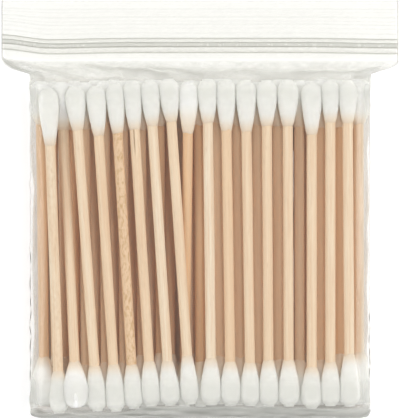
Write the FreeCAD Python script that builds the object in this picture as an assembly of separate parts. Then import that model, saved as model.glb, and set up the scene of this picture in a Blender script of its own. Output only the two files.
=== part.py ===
# A clear press-to-close bag packed with wooden cotton swabs, lying on its back.
#
# The bag is one folded film: the fold is at the -Y end, the two sides are welded, and the mouth
# at the +Y end is held shut by a rib-and-groove zip made of two extruded strips.
# Inside lie five rows of swabs, nested like stacked pipes. Each swab is a round wooden stick
# with a cotton bud wound on each end. The front row faces up (+Z).
#
# Millimetres. X runs across the bag, Y along the swabs towards the zip, Z up from the surface
# that the bag lies on. The origin is under the middle of the whole bag.

import FreeCAD, Part
import math
import os
import random

Vec = FreeCAD.Vector

# Swabs
swab_length = 74.0
stick_diameter = 2.35
bud_diameter = 4.3
bud_length = 9.8
bud_dome = 2.2
bud_barrel = 2.0
bud_tip_cover = 1.2
bud_skirt = 0.12
bud_waist = 0.42
bud_gap = 0.03

# Rows: the widest rows hold full_row swabs, and the rows between them one fewer
full_row = 17
row_count = 5
row_spacing = 0.25
row_calm = 0.8

# Bag film: its fold is rounded in the way of a flattened ellipse, with a flat share in the middle
film = 0.08
film_gap = 0.06
film_stretch = 1.0225
end_room = 3.15
end_curve = 2.8
end_bulge = 2.5
end_flat = 0.3
end_corner = 2.0
corner_share = 0.8
side_fin = 0.36
side_weld = 0.9
shoulder_length = 4.8
shoulder_lean = 0.6

# Zip and lips
header_swell = 1.25
header_corner = 0.4
zip_height = 3.4
flange_width = 3.5
flange_margin = 0.2
flange_thickness = 0.18
groove_depth = 0.75
groove_width = 1.2
groove_wall = 0.18
groove_lip = 0.1
stem_width = 0.28
arrow_width = 0.66
arrow_point = 0.24
arrow_length = 0.25
zip_clearance = 0.05
lip_length = 10.35
lip_opening = 0.34
mouth_overrun = 1.0
rib_count = 3
rib_first = 4.9
rib_pitch = 1.7
rib_width = 0.36
rib_height = 0.1

# How far each swab of the front row stands from its even place, as a share of the pitch, first
# at the zip end and then at the fold end, from left to right. The rows behind follow it less.
top_sway = [
    -0.07, 0.24, 0.29, 0.24, 0.09, -0.02, -0.07, -0.07,
    -0.13, -0.22, -0.22, -0.18, -0.13, 0.07, 0.0, -0.15,
]
fold_sway = [
    0.5, 0.35, 0.4, 0.33, 0.22, 0.09, 0.02, 0.02,
    0.07, 0.04, 0.02, -0.07, -0.07, 0.07, 0.0, -0.04,
]

# Two swabs change rows on their way: one comes up to the front row at the fold end, and one
# sinks from the front row into the second, under the swab on its left.
rising_slot = 1
sinking_slot = 7
passing_gap = 0.05

# Front row, left to right: how far each swab has slid along the bag, as a share of end_room,
# and how long its two buds are against bud_length.
slides = [
    -0.57, -0.4, -0.43, -0.22, -0.03, 0.0, 0.1, 0.06,
    0.06, 0.0, -0.03, -0.03, -0.19, 0.0, -0.03,
]
top_bud_share = [
    1.25, 0.94, 1.06, 1.07, 1.05, 0.97, 0.9, 0.93,
    1.1, 1.1, 0.97, 0.97, 1.12, 0.9, 0.9,
]
fold_bud_share = [
    0.9, 0.96, 1.0, 0.93, 0.95, 0.95, 1.04, 1.0,
    0.91, 0.91, 0.98, 0.99, 0.88, 0.93, 1.12,
]
loose_slide = 0.5
loose_bud = 0.12

# Worked out from the sizes above
stick_radius = stick_diameter / 2
pitch = bud_diameter + row_spacing
row_rise = math.sqrt((bud_diameter + bud_gap) ** 2 - (pitch / 2) ** 2)
wall_to_axis = film + film_gap + bud_diameter / 2
half_width = (full_row - 1) * pitch / 2 + wall_to_axis
half_height = (row_count - 1) * row_rise / 2 + wall_to_axis
mid_height = half_height
corner_radius = wall_to_axis + pitch * (0.5 + min(top_sway[0], fold_sway[0], 0))
corner_saving = (4 - math.pi) * corner_radius / 2
flat_width = 2 * (half_width + half_height - corner_saving) / film_stretch
swab_low = end_room
swab_high = end_room + swab_length
header_start = swab_high + shoulder_length
zip_middle = header_start + zip_height
bag_length = zip_middle + lip_length
zip_land = flange_width / 2 + flange_margin
zip_gap = 2 * flange_thickness + groove_depth
zip_half = zip_gap / 2 + film
lip_half = lip_opening / 2 + film


def place(x, along, z):
    """A point from its place across, along the bag from the fold, and above the surface."""
    return Vec(x, along - bag_length / 2, z)


def blend(a, b, share):
    return a + (b - a) * share


def nth(values, number):
    """The value for one swab. A list that is too short is gone through again."""
    return values[number % len(values)]


class Section:
    """The bag's cross-section at one place along it, a rounded rectangle given by half sizes."""

    def __init__(self, along, width, height, corner_x, corner_z):
        self.along = along
        self.width = width
        self.height = height
        self.corner_x = corner_x
        self.corner_z = corner_z

    def wire(self):
        flat = self.width - self.corner_x
        side = self.height - self.corner_z
        bulge = math.sin(math.pi / 4)
        bend_x = flat + self.corner_x * bulge
        bend_z = side + self.corner_z * bulge
        edges = []
        for sx, sz in ((1, 1), (1, -1), (-1, -1), (-1, 1)):
            over = self.at(sx * flat, sz * self.height)
            bend = self.at(sx * bend_x, sz * bend_z)
            beside = self.at(sx * self.width, sz * side)
            first, last = (over, beside) if sx == sz else (beside, over)
            edges.append(Part.Arc(first, bend, last).toShape())
            if sx == sz:
                edges.append(Part.LineSegment(last, self.at(last.x, -sz * side)).toShape())
            else:
                edges.append(Part.LineSegment(last, self.at(-sx * flat, sz * self.height)).toShape())
        return Part.Wire(edges)

    def at(self, x, z):
        return place(x, self.along, mid_height + z)


def fold_sections(inset):
    """The rounded end at the fold, from the fold to where the sides are straight."""
    sections = []
    for share in (1.0, 0.93, 0.82, 0.65, 0.4, 0.0):
        along = inset + (end_curve - inset) * (1 - share)
        height = (half_height - inset) * max(end_flat, (1 - share**end_bulge) ** (1 / end_bulge))
        turn = end_corner - inset
        turn_left = max(end_corner - along, 0.0)
        width = half_width - end_corner + math.sqrt(turn**2 - turn_left**2)
        corner = min(corner_radius - inset, corner_share * height)
        sections.append(Section(along, width, height, corner, corner))
    return sections


def shoulder_sections(inset):
    """From the straight sides over the ends of the swabs down to the flat header."""
    steps = [
        (-0.27, 1.0, 0.0),
        (-0.04, 0.955, 0.0),
        (0.125, 0.86, 0.0),
        (0.34, 0.64, 0.0),
        (0.6, 0.38, 0.36),
        (0.8, 0.19, 0.7),
    ]
    sections = []
    for share, tall, wide in steps:
        along = swab_high + share * shoulder_length - shoulder_lean * inset
        weld_share = max(share, 0.0) / steps[-1][0]
        edge = blend(inset, side_weld, weld_share) if inset else 0.0
        width = blend(half_width, flat_width / 2, wide) - edge
        height = half_height * tall - inset
        corner = min(corner_radius - inset, corner_share * height)
        sections.append(Section(along, width, height, corner, corner))
    return sections


def header_sections(inset):
    """The flat header: past the zip and out to the lips."""
    stations = [
        (header_start, zip_half * header_swell),
        (zip_middle - zip_land, zip_half),
        (zip_middle + zip_land, zip_half),
        (bag_length + (mouth_overrun if inset else 0.0), lip_half),
    ]
    width = flat_width / 2 - (side_weld if inset else 0.0)
    sections = []
    for along, half in stations:
        height = half - inset
        sections.append(Section(along, width, height, header_corner, corner_share * height))
    return sections


def bag_body(inset):
    """The outer form of the bag, or its hollow when inset by the film's thickness."""
    sections = fold_sections(inset) + shoulder_sections(inset) + header_sections(inset)
    return Part.makeLoft([s.wire() for s in sections], True, True)


def side_fins():
    """The thin welded edge that stands out along both sides, below the header."""
    outer = fold_sections(0.0) + shoulder_sections(0.0)
    outline = [(s.width + side_fin, s.along) for s in outer]
    outline[0] = (outer[0].width - corner_radius, outer[0].along)
    outline.append((flat_width / 2, header_start))
    outline.append((flat_width / 2, zip_middle))
    points = [place(x, along, mid_height - film) for x, along in outline]
    points += [place(-x, along, mid_height - film) for x, along in reversed(outline)]
    face = Part.Face(Part.makePolygon(points + points[:1]))
    return face.extrude(Vec(0, 0, 2 * film))


def grip_ribs():
    """Low ribs across the outside of both lips."""
    ribs = []
    slope = (zip_half - lip_half) / (lip_length - zip_land)
    for number in range(rib_count):
        along = zip_middle + rib_first + number * rib_pitch
        surface = zip_half - slope * (along - zip_middle - zip_land)
        sunk = film / 2
        for side in (1, -1):
            low = mid_height + side * (surface - sunk)
            corner = place(-flat_width / 2 + side_weld, along - rib_width / 2, low)
            length = flat_width - 2 * side_weld
            rib = Part.makeBox(length, rib_width, rib_height + sunk, corner)
            if side < 0:
                rib.translate(Vec(0, 0, -(rib_height + sunk)))
            ribs.append(rib)
    return ribs


def zip_bag():
    shell = bag_body(0.0).fuse([side_fins()] + grip_ribs())
    return shell.cut(bag_body(film)).removeSplitter()


def strip(profile):
    """A zip strip: its cross-section, as places along and above the middle, drawn out across."""
    reach = flat_width / 2 - side_weld - header_corner - zip_clearance
    points = [place(-reach, zip_middle + along, mid_height + z) for along, z in profile]
    face = Part.Face(Part.makePolygon(points + points[:1]))
    return face.extrude(Vec(2 * reach, 0, 0))


def back_zip_strip():
    """The grooved strip: a flange with two hooked walls."""
    base = -zip_gap / 2
    floor = base + flange_thickness
    top = floor + groove_depth - 2 * zip_clearance - flange_thickness
    inner = groove_width / 2 - groove_wall
    mouth = stem_width / 2 + zip_clearance
    half = [
        (flange_width / 2, base),
        (flange_width / 2, floor),
        (groove_width / 2, floor),
        (groove_width / 2, top),
        (mouth, top),
        (mouth, top - groove_lip),
        (inner, top - groove_lip),
        (inner, floor),
    ]
    return strip(half + [(-along, z) for along, z in reversed(half)])


def front_zip_strip():
    """The ribbed strip: a flange with a stem that ends in an arrowhead."""
    top = zip_gap / 2
    under = top - flange_thickness
    catch = -zip_gap / 2 + groove_depth - 2 * zip_clearance - groove_lip - zip_clearance
    half = [
        (flange_width / 2, top),
        (flange_width / 2, under),
        (stem_width / 2, under),
        (stem_width / 2, catch),
        (arrow_width / 2, catch),
        (arrow_point / 2, catch - arrow_length),
    ]
    return strip(half + [(-along, z) for along, z in reversed(half)])


# Swabs


class End:
    """One end of a swab: where its axis is, and the bud on it."""

    def __init__(self, x, level):
        self.x = x
        self.z = film + film_gap + bud_diameter / 2 + level * row_rise
        self.bud = bud_diameter
        self.share = 1.0


class Swab:
    def __init__(self, top, fold, slide=0.0):
        self.top = top
        self.fold = fold
        self.slide = slide

    def point(self, along):
        """The axis at a place along the bag."""
        share = (along - swab_low) / swab_length
        x = blend(self.fold.x, self.top.x, share)
        z = blend(self.fold.z, self.top.z, share)
        return place(x, along + self.slide, z)

    def middle(self):
        return self.point((swab_low + swab_high) / 2)

    def direction(self):
        return (self.point(swab_high) - self.point(swab_low)).normalize()


def slot_x(slots, slot):
    """The even place of a slot in a row of that many."""
    return (slot - (slots - 1) / 2) * pitch


def sway_of(sways, slots, slot, depth):
    """How far a swab stands from its even place, from those of the front row beside it."""
    if slots < full_row:
        near = nth(sways, slot)
    elif 0 < slot < full_row - 1:
        near = (nth(sways, slot - 1) + nth(sways, slot)) / 2
    elif slot == 0:
        near = max(sways[0] / 2, 0.0)
    else:
        near = min(nth(sways, full_row - 2) / 2, 0.0)
    return near * row_calm**depth


def end_at(sways, depth, slot):
    slots = full_row - 1 if depth % 2 == 0 else full_row
    return End(slot_x(slots, slot) + pitch * sway_of(sways, slots, slot, depth), row_count - 1 - depth)


def passing_reach():
    """How far left a sinking swab can end, past the end of the front swab that it goes under.

    Seen along the bag the two start a pitch apart in one row and end a row apart, and the
    line between their axes must stay a stick's diameter long.
    """
    apart = stick_diameter + passing_gap
    return min(math.sqrt((pitch * row_rise / apart) ** 2 - row_rise**2) - pitch, pitch / 2)


def make_rows():
    """The rows of swabs, front row first."""
    loose = random.Random(7)
    slots = full_row - 1
    top_slots = [s for s in range(slots) if s != sinking_slot]
    fold_slots = [s for s in range(slots) if s != rising_slot]
    front = []
    for number, (top_slot, fold_slot) in enumerate(zip(top_slots, fold_slots)):
        top = end_at(top_sway, 0, top_slot)
        fold = end_at(fold_sway, 0, fold_slot)
        swab = Swab(top, fold, nth(slides, number) * end_room)
        swab.top.share = nth(top_bud_share, number)
        swab.fold.share = nth(fold_bud_share, number)
        front.append(swab)
    rows = [front]
    for depth in range(1, row_count):
        row = []
        for slot in range(slots if depth % 2 == 0 else full_row):
            top = end_at(top_sway, depth, slot)
            fold = end_at(fold_sway, depth, slot)
            if depth == 1 and slot == rising_slot:
                fold = end_at(fold_sway, 0, rising_slot)
            if depth == 1 and slot == sinking_slot:
                top = end_at(top_sway, 0, sinking_slot)
                fold.x = end_at(fold_sway, 0, sinking_slot).x - passing_reach()
            swab = Swab(top, fold, loose.uniform(-loose_slide, loose_slide))
            swab.top.share = 1 + loose.uniform(-loose_bud, loose_bud)
            swab.fold.share = 1 + loose.uniform(-loose_bud, loose_bud)
            row.append(swab)
        rows.append(row)
    return rows


def squeeze_buds(rows):
    """Each bud is as fat as its nearest neighbours leave room for, up to bud_diameter."""
    swabs = [swab for row in rows for swab in row]
    reach = bud_dome + bud_barrel
    for name, tip, inner in (("top", swab_high, swab_high - reach), ("fold", swab_low, swab_low + reach)):
        for swab in swabs:
            nearest = bud_diameter + bud_gap
            for other in swabs:
                if other is swab:
                    continue
                for along in (tip, inner):
                    apart = swab.point(along) - other.point(along)
                    nearest = min(nearest, math.hypot(apart.x, apart.z))
            getattr(swab, name).bud = nearest - bud_gap


def stick(swab):
    length = swab_length - 2 * bud_tip_cover
    start = swab.middle() - swab.direction() * (length / 2)
    return Part.makeCylinder(stick_radius, length, start, swab.direction())


def bud(diameter, length):
    """A cotton bud with its tip at the origin, the stick leaving it along +Z."""
    radius = diameter / 2
    hem = stick_radius + bud_skirt
    barrel_end = bud_dome + bud_barrel
    waist = Vec(blend(radius, hem, bud_waist), 0, (barrel_end + length) / 2)
    dome_turn = math.pi / 4
    shoulder = Vec(radius * math.sin(dome_turn), 0, bud_dome * (1 - math.cos(dome_turn)))
    edges = [
        Part.Arc(Vec(0, 0, 0), shoulder, Vec(radius, 0, bud_dome)).toShape(),
        Part.LineSegment(Vec(radius, 0, bud_dome), Vec(radius, 0, barrel_end)).toShape(),
        Part.Arc(Vec(radius, 0, barrel_end), waist, Vec(hem, 0, length)).toShape(),
        Part.LineSegment(Vec(hem, 0, length), Vec(stick_radius, 0, length)).toShape(),
        Part.LineSegment(Vec(stick_radius, 0, length), Vec(stick_radius, 0, bud_tip_cover)).toShape(),
        Part.LineSegment(Vec(stick_radius, 0, bud_tip_cover), Vec(0, 0, bud_tip_cover)).toShape(),
        Part.LineSegment(Vec(0, 0, bud_tip_cover), Vec(0, 0, 0)).toShape(),
    ]
    return Part.Face(Part.Wire(edges)).revolve(Vec(0, 0, 0), Vec(0, 0, 1), 360)


def placed_bud(swab, at_top):
    """The bud on one end of a swab, turned to the swab's own line."""
    end = swab.top if at_top else swab.fold
    inward = swab.direction() * (-1 if at_top else 1)
    tip = swab.middle() - inward * (swab_length / 2)
    shape = bud(end.bud, bud_length * end.share)
    shape.Placement = FreeCAD.Placement(tip, FreeCAD.Rotation(Vec(0, 0, 1), inward))
    return shape


def swab_nodes(rows):
    """Each front swab in three nodes of its own, and each row behind as three groups."""
    nodes = {}
    for number, swab in enumerate(rows[0], 1):
        name = f"swab_{number:02d}"
        nodes[f"{name}_stick"] = stick(swab)
        nodes[f"{name}_top_cotton"] = placed_bud(swab, True)
        nodes[f"{name}_bottom_cotton"] = placed_bud(swab, False)
    for number, row in enumerate(rows[1:], 2):
        name = f"row_{number}"
        nodes[f"{name}_sticks"] = Part.makeCompound([stick(s) for s in row])
        nodes[f"{name}_top_cotton"] = Part.makeCompound([placed_bud(s, True) for s in row])
        nodes[f"{name}_bottom_cotton"] = Part.makeCompound([placed_bud(s, False) for s in row])
    return nodes


def main():
    rows = make_rows()
    squeeze_buds(rows)
    nodes = {
        "zip_bag": zip_bag(),
        "front_zip_strip": front_zip_strip(),
        "back_zip_strip": back_zip_strip(),
    }
    nodes.update(swab_nodes(rows))
    os.makedirs("parts", exist_ok=True)
    for name, shape in nodes.items():
        shape.exportStep(os.path.join("parts", f"{name}.step"))
        print(name, len(shape.Solids), "solids", round(shape.Volume, 3), "mm3", shape.isValid())


main()
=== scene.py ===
import math
import random

import bpy
import numpy as np
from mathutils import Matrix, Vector


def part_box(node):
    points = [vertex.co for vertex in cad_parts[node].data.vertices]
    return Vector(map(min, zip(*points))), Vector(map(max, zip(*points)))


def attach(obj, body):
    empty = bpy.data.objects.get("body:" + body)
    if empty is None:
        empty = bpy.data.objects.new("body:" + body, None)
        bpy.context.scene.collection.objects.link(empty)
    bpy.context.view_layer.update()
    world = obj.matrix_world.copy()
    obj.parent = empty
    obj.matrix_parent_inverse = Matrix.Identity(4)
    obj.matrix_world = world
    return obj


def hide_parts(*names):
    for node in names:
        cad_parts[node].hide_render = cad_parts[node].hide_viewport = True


# A clear zip bag full of wooden cotton swabs, dressed around its solids. Sizes are in millimetres
# and are turned to metres where a mesh is made. X runs across the bag, Y along the swabs towards
# the zip, Z up out of the front panel.

MM = 0.001

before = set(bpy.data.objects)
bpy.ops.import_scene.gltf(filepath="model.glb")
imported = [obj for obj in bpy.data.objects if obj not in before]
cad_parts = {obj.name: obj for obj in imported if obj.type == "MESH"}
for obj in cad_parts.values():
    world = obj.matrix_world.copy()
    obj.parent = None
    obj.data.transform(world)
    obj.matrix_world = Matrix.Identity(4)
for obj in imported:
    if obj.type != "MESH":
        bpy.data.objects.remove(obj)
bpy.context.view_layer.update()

# Camera
CAMERA_DISTANCE = 700.0
VIEW_MARGIN = 1.0015
SENSOR = 24.0
CAMERA_CLIP = 10.0

# Cotton buds
BUD_SWELL = 1.16
BUD_DOME = 2.9
BUD_BARREL_END = 3.9
BUD_DOME_POWER = 2.05
BUD_TAPER_POWER = 1.2
BUD_SQUARENESS = 2.7
BUD_OVERLAP = 0.1
BUD_REACH = 5.6
COTTON_HEM = 0.03
COTTON_HEM_REACH = 1.1
COTTON_TUCK = 1.3
COTTON_TUCK_DEPTH = 0.09
COTTON_FADE = 3.3
# The rear rows' longer fade is partly thinner cotton over the stick, partly painted warm light bounced off
# the sticks
REAR_FADE = 5.8
REAR_FADE_SPREAD = 1.8
COTTON_EDGE_FRAY = 0.14
COTTON_LUMP = 0.05
COTTON_LUMP_SIZE = 1.6
COTTON_THREAD = 0.01
COTTON_THREAD_TURNS = 9
NO_LIMIT = 99.0
SOFT_PRESS = 0.12
PRESS_FACING = 0.05
PRESS_PASSES = 4
FIRST_RING = 0.02
TIP_RING_SHARE = 0.6
TIP_RING_POWER = 1.8

# Sticks
STICK_WOBBLE = 0.012
STICK_GROOVE = 0.008

# Film
FILM = 0.08
FILM_ROOM = 0.14
INNER_HAZE = 0.28
FRONT_POINTS = 256
BACK_POINTS = 116
WELD_FIN = 0.36
WELD_HALF = 0.09
STICKS_START_Y = -35.5
STICKS_END_Y = 18.5
TOP_VEIL_Y = 22.6
LOW_VEIL_Y = -36.4

# How far the film stands off its plain form, by region, and how the header's lines bend
STICKS_SAG = 0.5
WALL_SAG = 0.12
SHOULDER_CRUMPLE = 0.14
SHOULDER_RISE = 1.3
RISE_START_Y = 26.5
GATHERS = 0.1
SMOOTH_START_Y = 20.0
SMOOTHING = 0.7
HEADER_LEFT_RISE = 0.95
HEADER_LEFT_DIP = 0.32
HEADER_RIGHT_FALL = 0.28

# How cloudy the film is, by region. On the shoulder, just past the buds' tips, at the edges, on the side
# walls and at the gathered end it is also painted grey as shade and reflection.
PLAIN_HAZE = 0.012
BODY_HAZE = 0.006
VEIL_HAZE = 0.22
VEIL_REACH = 4.5
HEADER_HAZE = 0.22
SHOULDER_HAZE_AND_SHADE = 0.2
TIPS_HAZE_AND_SHADE = 0.22
EDGE_START_X = 36.2
EDGE_HAZE_AND_SHADE = 0.2
RIGHT_LOW_EDGE_HAZE_AND_SHADE = 0.08
WALL_HAZE_AND_SHADE = 0.25
GATHERED_HAZE_AND_SHADE = 0.62
STREAK_HAZE_AND_SHADE = 0.3

# Colours
# The dark end of these stick tones is painted shade, used for the rear rows
WOOD_TONES_AND_SHADE = [(0.0, (0.78, 0.48, 0.25)), (0.4, (0.87, 0.67, 0.46)), (1.0, (0.91, 0.80, 0.63))]
WOOD_STREAK = (0.80, 0.56, 0.36)
WOOD_FINE_STREAK = (0.78, 0.54, 0.34)
WOOD_PORE = (0.55, 0.34, 0.2)
WOOD_FLECK = (0.62, 0.39, 0.19)
WOOD_SLIT_SHADE = (0.34, 0.19, 0.08)
COTTON_TONES = [(0.3, (0.83, 0.83, 0.795)), (0.7, (0.87, 0.87, 0.835))]
COTTON_SHADE = (0.79, 0.79, 0.745)
# Rear-row cotton is mixed towards this lighter colour: painted light for the light the packed cotton passes
# to it
REAR_COTTON_PAINTED_LIGHT = (0.98, 0.975, 0.935)
COTTON_OVER_WOOD = (0.83, 0.69, 0.53)
COTTON_SOFTNESS = 0.85
FILM_TINT = (0.995, 0.994, 0.99)
# The film's greys, from thin to thick: the thick grey is painted shade and painted reflection
FILM_MILK_AND_SHADE_GREYS = ((0.9, 0.9, 0.86), (0.36, 0.365, 0.335))
ZIP_TINT = (1.0, 1.0, 0.998)
ZIP_MILK_AND_SHADE_GREYS = ((0.88, 0.88, 0.84), (0.4, 0.4, 0.36))
FLOOR_SHADED = (0.38, 0.26, 0.18)
FLOOR_BRIGHT = (0.55, 0.55, 0.55)
SKY = [(0.0, (0.95, 0.95, 0.93)), (0.5, (0.55, 0.55, 0.55)), (1.0, (0.22, 0.22, 0.22))]

# Mesh fineness: points around, rings along
NEAR_BUD = (40, 34)
FAR_BUD = (24, 20)
NEAR_STICK = (28, 60)
FAR_STICK = (14, 20)
NEAR_ROWS = 2
WAVES_IN_FIELD = 7

# Swabs are numbered from 1 in the front row, from 200 in row 2, from 300 in row 3 and so on
ROW_STEP = 100


def mm_box(node):
    """A CAD node's lowest and highest corners, in millimetres."""
    low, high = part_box(node)
    return [v / MM for v in low], [v / MM for v in high]


def new_object(name, points, faces, material, smooth=True):
    """A mesh object from points in millimetres."""
    mesh = bpy.data.meshes.new(name)
    mesh.from_pydata([tuple(p) for p in np.asarray(points) * MM], [], faces)
    mesh.materials.append(material)
    mesh.polygons.foreach_set("use_smooth", [smooth] * len(mesh.polygons))
    mesh.update()
    made = bpy.data.objects.new(name, mesh)
    bpy.context.scene.collection.objects.link(made)
    return made


def give(obj, name, values):
    """Stores a number or a vector for each point."""
    values = np.asarray(values, np.float32)
    kind, field = ("FLOAT_VECTOR", "vector") if values.ndim == 2 else ("FLOAT", "value")
    layer = obj.data.attributes.new(name, kind, "POINT")
    layer.data.foreach_set(field, values.ravel())


def finish_piece(obj, slot, *nodes):
    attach(obj, "root")
    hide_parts(*nodes)
    return obj


def ease(t):
    t = np.clip(t, 0.0, 1.0)
    return t * t * (3 - 2 * t)


def rises(value, start, over):
    """From 0 to 1 as a value goes past a start, over a distance."""
    return ease((value - start) / over)


def falls(value, end, over):
    """From 1 to 0 as a value comes up to an end, over a distance."""
    return ease((end - value) / over)


class Waves:
    """A smooth random field: a sum of waves that run in random directions."""

    def __init__(self, seed, size, stretch=1.0):
        draw = random.Random(seed)
        self.terms = []
        for _ in range(WAVES_IN_FIELD):
            turn = draw.uniform(0, 2 * math.pi)
            pace = 2 * math.pi / (size * draw.uniform(0.7, 1.5))
            phase = draw.uniform(0, 2 * math.pi)
            self.terms.append((pace * math.cos(turn), pace * math.sin(turn) / stretch, phase))
        self.share = math.sqrt(2 / WAVES_IN_FIELD)

    def __call__(self, x, y):
        total = 0.0
        for a, b, phase in self.terms:
            total = total + np.sin(a * x + b * y + phase)
        return total * self.share


# Where the swabs and the bag lie, read from the solids

bag_low, bag_high = mm_box("zip_bag")
BAG_BASE = bag_low[2]
BAG_TOP = bag_high[2]


def read_points(node):
    """A CAD node's mesh, and its points in millimetres."""
    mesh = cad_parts[node].data
    points = np.empty(len(mesh.vertices) * 3)
    mesh.vertices.foreach_get("co", points)
    return mesh, points.reshape(-1, 3) / MM


def solids_of(node):
    """The points of each separate solid in a CAD node, in millimetres."""
    mesh, points = read_points(node)
    places, same = np.unique(np.round(points, 4), axis=0, return_inverse=True)
    same = same.ravel()
    mesh.calc_loop_triangles()
    corners = np.empty(len(mesh.loop_triangles) * 3, np.int64)
    mesh.loop_triangles.foreach_get("vertices", corners)
    corners = same[corners].reshape(-1, 3)
    label = np.arange(len(places))
    while True:
        before = label.copy()
        lowest = label[corners].min(axis=1)
        for k in range(3):
            np.minimum.at(label, corners[:, k], lowest)
        label = label[label]
        if (label == before).all():
            break
    return [places[label == found] for found in np.unique(label)]


class Bud:
    """One cotton bud: how far its tip is from the swab's middle, its length and its radius."""

    def __init__(self, swab, points):
        along = (points - swab.middle) @ swab.along
        off = points - swab.middle - np.outer(along, swab.along)
        self.sign = 1 if along.mean() > 0 else -1
        reach = along * self.sign
        self.tip = reach.max()
        self.length = reach.max() - reach.min()
        self.radius = np.linalg.norm(off, axis=1).max()


class Swab:
    """A swab's axis: its middle, its direction towards the zip, and two directions across."""

    def __init__(self, points):
        self.number = 0
        self.middle = points.mean(axis=0)
        spread = points - self.middle
        self.along = np.linalg.svd(spread, full_matrices=False)[2][0]
        self.along *= np.sign(self.along[1])
        reach = spread @ self.along
        self.half = reach.max()
        off = spread - np.outer(reach, self.along)
        self.radius = np.linalg.norm(off, axis=1).max()
        side = np.array([1.0, 0.0, 0.0])
        side -= self.along * (side @ self.along)
        self.side = side / np.linalg.norm(side)
        self.up = np.cross(self.side, self.along)
        self.buds = []

    def place(self, local):
        """Points given as across, up and along the swab, in the frame."""
        return self.middle + local[:, :1] * self.side + local[:, 1:2] * self.up + local[:, 2:] * self.along

    def off_axis(self, point):
        spread = point - self.middle
        return np.linalg.norm(spread - self.along * (spread @ self.along))


def read_swabs(stick_node, bud_nodes, first_number):
    """The swabs of a row, left to right, from the CAD nodes that hold them."""
    sticks = [Swab(points) for points in solids_of(stick_node)]
    sticks.sort(key=lambda swab: swab.middle[0])
    for number, swab in enumerate(sticks):
        swab.number = first_number + number
    for node in bud_nodes:
        for points in solids_of(node):
            owner = min(sticks, key=lambda swab: swab.off_axis(points.mean(axis=0)))
            owner.buds.append(Bud(owner, points))
    return sticks


# Materials


def shader(name):
    material = bpy.data.materials.new(name)
    material.use_nodes = True
    tree = material.node_tree
    return material, tree, tree.nodes["Principled BSDF"]


def fill(tree, node, values):
    """Sets a node's inputs to numbers and colours, or links them to the outputs of others."""
    for name, value in values.items():
        socket = node.inputs[name]
        if isinstance(value, bpy.types.NodeSocket):
            tree.links.new(value, socket)
        elif socket.type == "RGBA":
            socket.default_value = (*value, 1.0)
        else:
            socket.default_value = value


def made_node(tree, kind, values):
    node = tree.nodes.new(f"ShaderNode{kind}")
    fill(tree, node, values)
    return node


def attribute(tree, name, output="Fac"):
    node = tree.nodes.new("ShaderNodeAttribute")
    node.attribute_name = name
    return node.outputs[output]


def noise(tree, vector, scale, detail, roughness):
    """Noise over coordinates that are first multiplied by a scale for each direction."""
    mapped = made_node(tree, "Mapping", {"Vector": vector, "Scale": scale}).outputs["Vector"]
    values = {"Vector": mapped, "Scale": 1.0, "Detail": detail, "Roughness": roughness}
    return made_node(tree, "TexNoise", values).outputs["Fac"]


def ramp(tree, value, stops):
    """A colour ramp with stops of (position, colour)."""
    node = made_node(tree, "ValToRGB", {"Fac": value})
    points = node.color_ramp.elements
    while len(points) < len(stops):
        points.new(0.5)
    for point, (position, colour) in zip(points, stops):
        point.position = position
        point.color = (*colour, 1.0)
    return node.outputs["Color"]


def grey_ramp(tree, value, *stops):
    """A ramp of greys with stops of (position, level)."""
    return ramp(tree, value, [(position, (level, level, level)) for position, level in stops])


def maths(tree, kind, a, b, clamp=False):
    node = made_node(tree, "Math", {0: a, 1: b})
    node.operation = kind
    node.use_clamp = clamp
    return node.outputs["Value"]


def mixed(tree, share, a, b):
    """A share of colour b in colour a."""
    node = tree.nodes.new("ShaderNodeMix")
    node.data_type = "RGBA"
    fill(tree, node, {0: share, 6: a, 7: b})
    return node.outputs[2]


def bumped(tree, height, strength, distance, *shaders):
    """Bends the normals of some shader nodes by a height, with a distance in millimetres."""
    values = {"Height": height, "Strength": strength, "Distance": distance * MM}
    normal = made_node(tree, "Bump", values).outputs["Normal"]
    for bent in shaders:
        fill(tree, bent, {"Normal": normal})


def wood_material():
    """Unfinished birch: long fine streaks, a few pores, a figure for each stick, and a lightness for each
    stick that also carries painted shade on the rear rows.
    """
    material, tree, principled = shader("birch_stick")
    grain = attribute(tree, "grain", "Vector")
    streaks = noise(tree, grain, (1.9, 1.9, 0.05), 4.0, 0.6)
    fine = noise(tree, grain, (9.0, 9.0, 0.22), 2.0, 0.5)
    pores = noise(tree, grain, (7.0, 7.0, 0.5), 1.0, 0.4)
    flecks = noise(tree, grain, (1.5, 1.5, 0.8), 5.0, 0.7)
    base = ramp(tree, attribute(tree, "tone"), WOOD_TONES_AND_SHADE)
    streaked = mixed(tree, grey_ramp(tree, streaks, (0.38, 0.0), (0.72, 0.85)), base, WOOD_STREAK)
    fined = mixed(tree, grey_ramp(tree, fine, (0.5, 0.0), (0.75, 0.4)), streaked, WOOD_FINE_STREAK)
    pored = mixed(tree, grey_ramp(tree, pores, (0.71, 0.0), (0.78, 0.55)), fined, WOOD_PORE)
    fleck = grey_ramp(tree, flecks, (0.48, 0.0), (0.62, 1.0))
    flecked = mixed(tree, maths(tree, "MULTIPLY", fleck, attribute(tree, "figure")), pored, WOOD_FLECK)
    # The slit's groove is painted dark: painted shade in the recess
    colour = mixed(tree, attribute(tree, "dark"), flecked, WOOD_SLIT_SHADE)
    fill(tree, principled, {"Base Color": colour, "Roughness": 0.62, "Specular IOR Level": 0.3})
    bumped(tree, maths(tree, "ADD", fine, streaks), 0.5, 0.03, principled)
    return material


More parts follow.
